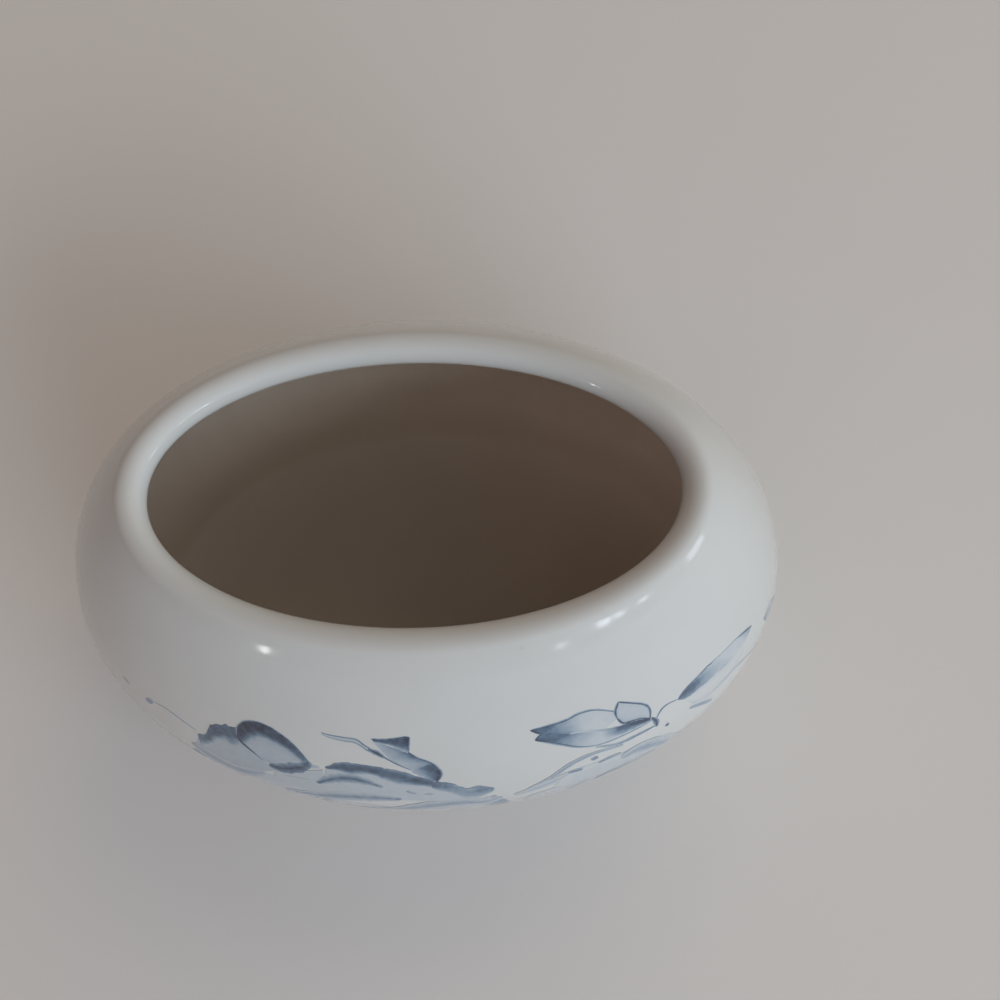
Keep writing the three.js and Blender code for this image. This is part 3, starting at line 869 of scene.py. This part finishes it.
def leaf_slender():
    upper = [(314, 10.9), (316, 11.8), (318.8, 12.2), (322, 12.4), (325.2, 12.3), (331.2, 11.7),
             (335.6, 10.2)]
    lower = [(314, 10.8), (316, 9.9), (319.6, 9.8), (324.8, 9.6), (329.2, 9.1), (332.4, 9.2), (335.6, 10.1)]
    under = [(315.6, 9.4), (317, 7.4), (321, 6), (326, 6.2), (331.5, 8)]
    return [
        Stroke(upper, (0.24, 0.3, 0.26, 0.4, 0.24, 0.26, 0.4), (0.9, 0.85, 0.8, 1.0, 0.5, 0.5, 1.0)),
        Stroke(lower, (0.24, 0.26, 0.2, 0.28, 0.2, 0.2, 0.28), (0.9, 0.75, 0.5, 0.6, 0.3, 0.35, 0.7)),
        Wash([(315, 10), (319, 9.8), (323, 9.7), (327, 9.3), (332, 9.4)], under,
             (0.14, 0.06, 0.08, 0.16), fray=0.3),
        Wash(lower, upper, (0.6, 0.74, 0.82, 0.72), (0.9, 1.0, 0.82, 0.4, 0.18, 0.2, 0.9), 0.2),
        Stroke([(330.6, 11.7), (333.2, 11), (335.7, 10.1)], (0.2, 0.34, 0.3), (0.6, 0.95, 1.0)),
        Stroke([(315.8, 7.2), (318.2, 6), (321, 4.1)], (0.6, 0.8), (0.6, 0.5)),
        Stroke([(321, 6.6), (328, 6.2), (333, 4.6), (337, 3)], (0.3, 0.36, 0.3), (0.3, 0.4, 0.34)),
    ]


LEAF_POINTS = 6  # places along each of a plain leaf's lines
LEAF_LEAN = 0.8  # under one moves a leaf's widest place towards its first end


def plain_leaf(skin, start, end, breadth, bow, depth):
    """A leaf along a bowed line, with washes that are darkest at its tip and along its rib."""
    girth = skin.girth((start[0] + end[0]) / 2, (start[1] + end[1]) / 2 * MM) / MM
    run = Vector(((end[0] - start[0]) * girth, end[1] - start[1]))
    side = Vector((-run.y, run.x)).normalized()
    lines = []
    for hand in (0.5, -0.5, 0.0):  # upper side, lower side and rib
        places = []
        for step in range(LEAF_POINTS):
            part = step / (LEAF_POINTS - 1)
            offset = hand * breadth * math.sin(math.pi * part ** LEAF_LEAN) + bow * 4 * part * (1 - part)
            places.append((start[0] + (run.x * part + side.x * offset) / girth,
                           start[1] + run.y * part + side.y * offset))
        lines.append(places)
    upper, lower, rib = lines
    return [
        Stroke(upper, (0.3, 0.36, 0.28, 0.36), (0.9, 0.7, 0.6, 1.0)),
        Stroke(lower, (0.3, 0.36, 0.3, 0.36), (0.9, 0.8, 0.7, 1.0)),
        Wash(rib, upper, (0.6, 0.5, 0.6), (0.7 * depth, 0.3 * depth, 0.2, 0.6 * depth, depth), 0.2),
        Wash(rib, lower, (0.66, 0.56, 0.66), (0.9 * depth, 0.6 * depth, 0.5 * depth, depth, depth), 0.2),
        Stroke(rib, (0.3, 0.24, 0.12), (0.9, 0.7, 0.4)),
    ]


DARK_LEAF = 1.15  # strength of a plain leaf's washes
MID_LEAF = 0.8


def spray(skin):
    """Every motif of one spray, with its marks from the first laid to the last."""
    sliver_upper = [(254.8, 17.2), (256, 17), (258.4, 16.9), (260.4, 16.8), (261.8, 15.9), (263.8, 14.9)]
    sliver_lower = [(254.8, 17), (256, 16.6), (258.4, 16.35), (260.4, 16.2), (262.4, 15), (263.8, 14.6)]
    return {
        "blossom_left": blossom_left(),
        "blossom_centre": blossom_centre(),
        "blossom_right": blossom_right(),
        "leaf_turned": leaf_turned(),
        "leaf_forked": leaf_forked(),
        "leaf_slender": leaf_slender(),
        "leaf_end": plain_leaf(skin, (340.4, 6.6), (347.4, 4.2), 2, 0, DARK_LEAF),
        "leaf_low_left": plain_leaf(skin, (240, -6.6), (224, -8.6), 4, 0.8, MID_LEAF),
        "leaf_low_centre": plain_leaf(skin, (283, -6.5), (291, -13), 3.4, -0.5, DARK_LEAF),
        "leaf_low_right": plain_leaf(skin, (317.5, -3.5), (332, -8), 3.8, 0.6, MID_LEAF),
        "bud_left": [Stroke([(221.3, 9.4), (222, 9.2), (222.7, 9)], (1.2, 1.4, 1.2), (0.6, 0.64, 0.6), 0.4)],
        "bud_small": [Stroke([(214.6, 9), (215.6, 9), (216.6, 8.8)], (0.5, 0.6), (0.5, 0.5), 0.3)],
        "stem_left": [
            Stroke([(223, 9.8), (225.8, 10.4), (229.2, 10.1), (232.6, 9.6)], (0.24, 0.3), (0.5, 0.56)),
        ],
        "stem_centre": [
            Wash(sliver_lower, sliver_upper, (0.4, 0.2, 0.36)),
            Stroke(sliver_upper, (0.16, 0.2, 0.24), (0.9, 0.7, 0.9)),
            Stroke(sliver_lower, (0.14, 0.18, 0.22), (0.7, 0.6, 0.9)),
            Stroke([(262.2, 15.4), (263.4, 14.9), (264.8, 14)], (0.4, 0.65, 0.4), (0.9, 1.0, 0.9)),
        ],
        "stem_right": [
            Stroke([(309, 9.8), (310.4, 11), (312, 11.3), (314, 10.9)], (0.2, 0.26, 0.2), (0.9, 0.85, 0.8)),
            Stroke([(308.3, 10.6), (308.9, 9.3), (308.8, 8.1)], (0.4, 0.6, 0.4), (1.0, 0.9, 0.9)),
        ],
    }


# Operators

class VASE_OT_white_coat(bpy.types.Operator):
    """The white glaze, from the foot up the outside and over the lip"""

    bl_idname = "vase.white_coat"
    bl_label = "White coat"

    def execute(self, context):
        form = context.scene.vase_form
        skin = Skin(form)
        back = set_in(skin.path, form.glaze)
        profile = skin.path + back[::-1] + rolled_edge(back[0], skin.path[0], EDGE_STEPS)
        mesh = spun(profile, form, closed=True)
        pull_into_oval(mesh, skin)
        piece_from("white_coat", mesh, white_glaze(context.scene.vase_finish), "outer_glaze")
        return {"FINISHED"}


class VASE_OT_brown_liner(bpy.types.Operator):
    """The brown glaze on the floor and the inner wall"""

    bl_idname = "vase.brown_liner"
    bl_label = "Brown liner"

    def execute(self, context):
        form = context.scene.vase_form
        skin = Skin(form)
        wall = skin.underside + skin.shoulder[1:]
        face = set_in(wall, full_wall(form))
        back = set_in(wall, full_wall(form) - form.glaze)
        face[-1] = face[-1] + (face[-2] - face[-1]).normalized() * form.coat_seam
        back[-1] = back[-1] + (back[-2] - back[-1]).normalized() * form.coat_seam
        bowl = pooled_floor(face, form.curve_points)
        profile = floor_rings(back[0].y, back[0].x, FLOOR_RINGS) + back + bowl[::-1]
        mesh = spun(profile, form, closed=False)
        pull_into_oval(mesh, skin)
        material = brown_glaze(context.scene.vase_finish, form)
        piece_from("brown_liner", mesh, material, "liner_glaze")
        return {"FINISHED"}


class VASE_OT_cast_body(bpy.types.Operator):
    """The cast porcelain wall between the coats, bare underneath"""

    bl_idname = "vase.cast_body"
    bl_label = "Cast body"

    def execute(self, context):
        form = context.scene.vase_form
        finish = context.scene.vase_finish
        skin = Skin(form)
        skin_depth = form.glaze + form.fuse_gap
        outside = set_in(skin.path, skin_depth)
        inside = set_in(skin.underside + skin.shoulder[1:], full_wall(form) - skin_depth)[-2::-1]
        base = form.foot_height + form.fuse_gap
        below = floor_rings(base, form.foot_depth / 2, FLOOR_RINGS) + [Vector((form.foot_depth / 2, base))]
        profile = below + outside + inside + floor_rings(inside[-1].y, inside[-1].x, FLOOR_RINGS)[::-1]
        mesh = spun(profile, form, closed=False)
        pull_into_oval(mesh, skin)
        material = bare_clay("porcelain", finish.porcelain, finish.grime, form.foot_height)
        piece_from("cast_body", mesh, material, "porcelain_body")
        return {"FINISHED"}


class VASE_OT_standing_ring(bpy.types.Operator):
    """The bare ring that the vase stands on"""

    bl_idname = "vase.standing_ring"
    bl_label = "Standing ring"

    def execute(self, context):
        form = context.scene.vase_form
        finish = context.scene.vase_finish
        skin = Skin(form)
        outer = form.foot_depth / 2
        inner = outer - form.foot_width
        profile = [Vector((inner, 0)), Vector((outer, 0)), Vector((outer, form.foot_height)),
                   Vector((inner, form.foot_height))]
        mesh = spun(profile, form, closed=True)
        low_edges = [edge for edge in mesh.edges
                     if max(vert.co.z for vert in edge.verts) < MERGE_DISTANCE
                     and abs(edge.verts[0].co.xy.length - edge.verts[1].co.xy.length) < MERGE_DISTANCE]
        bmesh.ops.bevel(mesh, geom=low_edges, offset=form.foot_edge, segments=FOOT_EDGE_STEPS, profile=0.5,
                        affect="EDGES", material=-1)
        pull_into_oval(mesh, skin)
        material = bare_clay("biscuit", finish.biscuit, finish.grime, form.foot_edge)
        piece_from("standing_ring", mesh, material, "foot_ring")
        return {"FINISHED"}


class VASE_OT_printed_sprays(bpy.types.Operator):
    """The blue spray of blossoms and leaves, on the front and on the back"""

    bl_idname = "vase.printed_sprays"
    bl_label = "Printed sprays"

    def execute(self, context):
        sizes = context.scene.vase_print
        skin = Skin(context.scene.vase_form)
        material = printed_ink(context.scene.vase_finish)
        front_drop = sizes.front_drop / MM
        back_drop = sizes.back_drop / MM
        sides = {
            "front": lambda place: (place[0], place[1] - front_drop),
            "back": lambda place: (place[0] + 180, place[1] - back_drop),
        }
        for side, settle in sides.items():
            for motif, marks in spray(skin).items():
                mesh = bmesh.new()
                ink_layer = mesh.verts.layers.float.new("ink")
                for index, mark in enumerate(marks):
                    lift = sizes.lift + sizes.layer * index
                    lay_mark(mesh, ink_layer, skin, mark, settle, lift, sizes.root)
                node = f"{side}_{motif}"
                piece_from(f"{node}_print", mesh, material, node)
        return {"FINISHED"}


class Lamp(NamedTuple):
    """A rectangular lamp that faces the vase: degrees round Z and above level, metres, watts and tint."""

    bearing: float
    rise: float
    distance: float
    breadth: float
    tallness: float
    power: float
    tint: tuple
    in_gloss: bool


DAYLIGHT = (0.8, 0.91, 1.0)
WARM_LIGHT = (1.0, 0.76, 0.45)
ROSE_LIGHT = (1.0, 0.78, 0.8)
PLAIN_WHITE = (1.0, 1.0, 1.0)
LAMPS = {
    "window_light": Lamp(-47, 24, 0.9, 0.8, 0.45, 4.35, DAYLIGHT, False),
    "far_light": Lamp(60, 50, 0.9, 0.6, 0.45, 1.0, WARM_LIGHT, False),
    "left_light": Lamp(-140, 50, 0.9, 0.6, 0.45, 0.42, ROSE_LIGHT, False),
    "pane_near": Lamp(-54.9, 10.5, 1.2, 0.045, 0.14, 0.3, DAYLIGHT, True),
    "pane_middle": Lamp(-50.6, 10.5, 1.2, 0.06, 0.14, 0.16, DAYLIGHT, True),
    "pane_far": Lamp(-43, 10, 1.2, 0.06, 0.1, 0.12, DAYLIGHT, True),
    "pane_side": Lamp(-65.8, 6, 1.2, 0.025, 0.1, 0.07, DAYLIGHT, True),
    "pane_end": Lamp(-16, 7, 1.2, 0.26, 0.2, 0.6, DAYLIGHT, True),
    "small_lamp": Lamp(-122.5, 4, 1.0, 0.016, 0.08, 0.14, PLAIN_WHITE, True),
}
ROOM_LEFT = (0.13, 0.074, 0.048)  # light of the room from -X
ROOM_RIGHT = (0.62, 0.63, 0.63)  # and from +X
ROOM_ABOVE = 0.35  # share of that light straight above
ROOM_DIMMING = (0.7, 0.95)  # sines of the rise between which it falls to that share
LAMP_TARGET = Vector((0, 0, 0.03))


def add_lamp(name, lamp):
    """Hangs one lamp and turns it to the vase."""
    data = bpy.data.lights.new(name, "AREA")
    data.shape = "RECTANGLE"
    data.size = lamp.breadth
    data.size_y = lamp.tallness
    data.energy = lamp.power
    data.color = lamp.tint
    bearing = math.radians(lamp.bearing)
    rise = math.radians(lamp.rise)
    way = Vector((math.cos(bearing) * math.cos(rise), math.sin(bearing) * math.cos(rise), math.sin(rise)))
    light = bpy.data.objects.new(name, data)
    light.location = LAMP_TARGET + way * lamp.distance
    light.rotation_euler = way.to_track_quat("Z", "Y").to_euler()
    light.visible_glossy = lamp.in_gloss
    bpy.context.scene.collection.objects.link(light)


SENSOR_WIDTH = 36.0
PICTURE_WIDTH = 1000
NEAREST_SEEN = 5 * MM


def add_camera(stage):
    data = bpy.data.cameras.new("camera")
    data.sensor_width = SENSOR_WIDTH
    data.lens = SENSOR_WIDTH * stage.focal_pixels / PICTURE_WIDTH
    data.clip_start = NEAREST_SEEN
    camera = bpy.data.objects.new("camera", data)
    aim = Euler((math.pi / 2 - stage.camera_tilt, 0, stage.camera_turn)).to_matrix()
    camera.rotation_euler = (aim @ Matrix.Rotation(stage.camera_roll, 3, "Z")).to_euler()
    camera.location = stage.camera_place
    bpy.context.scene.collection.objects.link(camera)
    bpy.context.scene.camera = camera


def add_floor(stage):
    mesh = bmesh.new()
    bmesh.ops.create_grid(mesh, x_segments=1, y_segments=1, size=stage.floor_size)
    data = bpy.data.meshes.new("floor")
    mesh.to_mesh(data)
    mesh.free()
    data.materials.append(pale_floor(stage))
    floor = bpy.data.objects.new("floor", data)
    bpy.context.scene.collection.objects.link(floor)


def light_room():
    """Soft light from all round, warmer and dimmer on the left, and dimmer straight above."""
    world = bpy.data.worlds.new("room")
    world.use_nodes = True
    tree = world.node_tree
    way = parted(tree, add_node(tree, "ShaderNodeTexCoord").outputs["Generated"])
    rightward = ranged(tree, way["X"], -1.0, 1.0, 0.0, 1.0)
    light = mix_colours(tree, rightward, opaque(ROOM_LEFT), opaque(ROOM_RIGHT))
    background = tree.nodes["Background"]
    tree.links.new(light, background.inputs["Color"])
    dimmed = ranged(tree, way["Z"], *ROOM_DIMMING, 1.0, ROOM_ABOVE, smooth=True)
    tree.links.new(dimmed, background.inputs["Strength"])
    bpy.context.scene.world = world


class VASE_OT_stage(bpy.types.Operator):
    """Camera, plain pale floor and soft light"""

    bl_idname = "vase.stage"
    bl_label = "Stage"

    def execute(self, context):
        stage = context.scene.vase_stage
        add_camera(stage)
        add_floor(stage)
        light_room()
        for name, lamp in LAMPS.items():
            add_lamp(name, lamp)
        context.scene.view_settings.view_transform = "Standard"
        return {"FINISHED"}


class VASE_PT_pieces(bpy.types.Panel):
    """Lists the vase's pieces and the stage"""

    bl_idname = "VASE_PT_pieces"
    bl_label = "Miniature oval vase"
    bl_space_type = "VIEW_3D"
    bl_region_type = "UI"
    bl_category = "Vase"

    def draw(self, context):
        for operator in OPERATORS:
            self.layout.operator(operator.bl_idname)


OPERATORS = (
    VASE_OT_stage,
    VASE_OT_cast_body,
    VASE_OT_brown_liner,
    VASE_OT_white_coat,
    VASE_OT_standing_ring,
    VASE_OT_printed_sprays,
)
PROPERTY_GROUPS = {
    "vase_form": VaseForm,
    "vase_print": VasePrint,
    "vase_finish": VaseFinish,
    "vase_stage": VaseStage,
}


def register():
    for name, group in PROPERTY_GROUPS.items():
        bpy.utils.register_class(group)
        setattr(bpy.types.Scene, name, PointerProperty(type=group))
    for operator in OPERATORS:
        bpy.utils.register_class(operator)
    bpy.utils.register_class(VASE_PT_pieces)


def unregister():
    bpy.utils.unregister_class(VASE_PT_pieces)
    for operator in reversed(OPERATORS):
        bpy.utils.unregister_class(operator)
    for name, group in PROPERTY_GROUPS.items():
        delattr(bpy.types.Scene, name)
        bpy.utils.unregister_class(group)


def main():
    register()
    bpy.ops.vase.stage()
    bpy.ops.vase.cast_body()
    bpy.ops.vase.brown_liner()
    bpy.ops.vase.white_coat()
    bpy.ops.vase.standing_ring()
    bpy.ops.vase.printed_sprays()


if __name__ == "__main__":
    main()
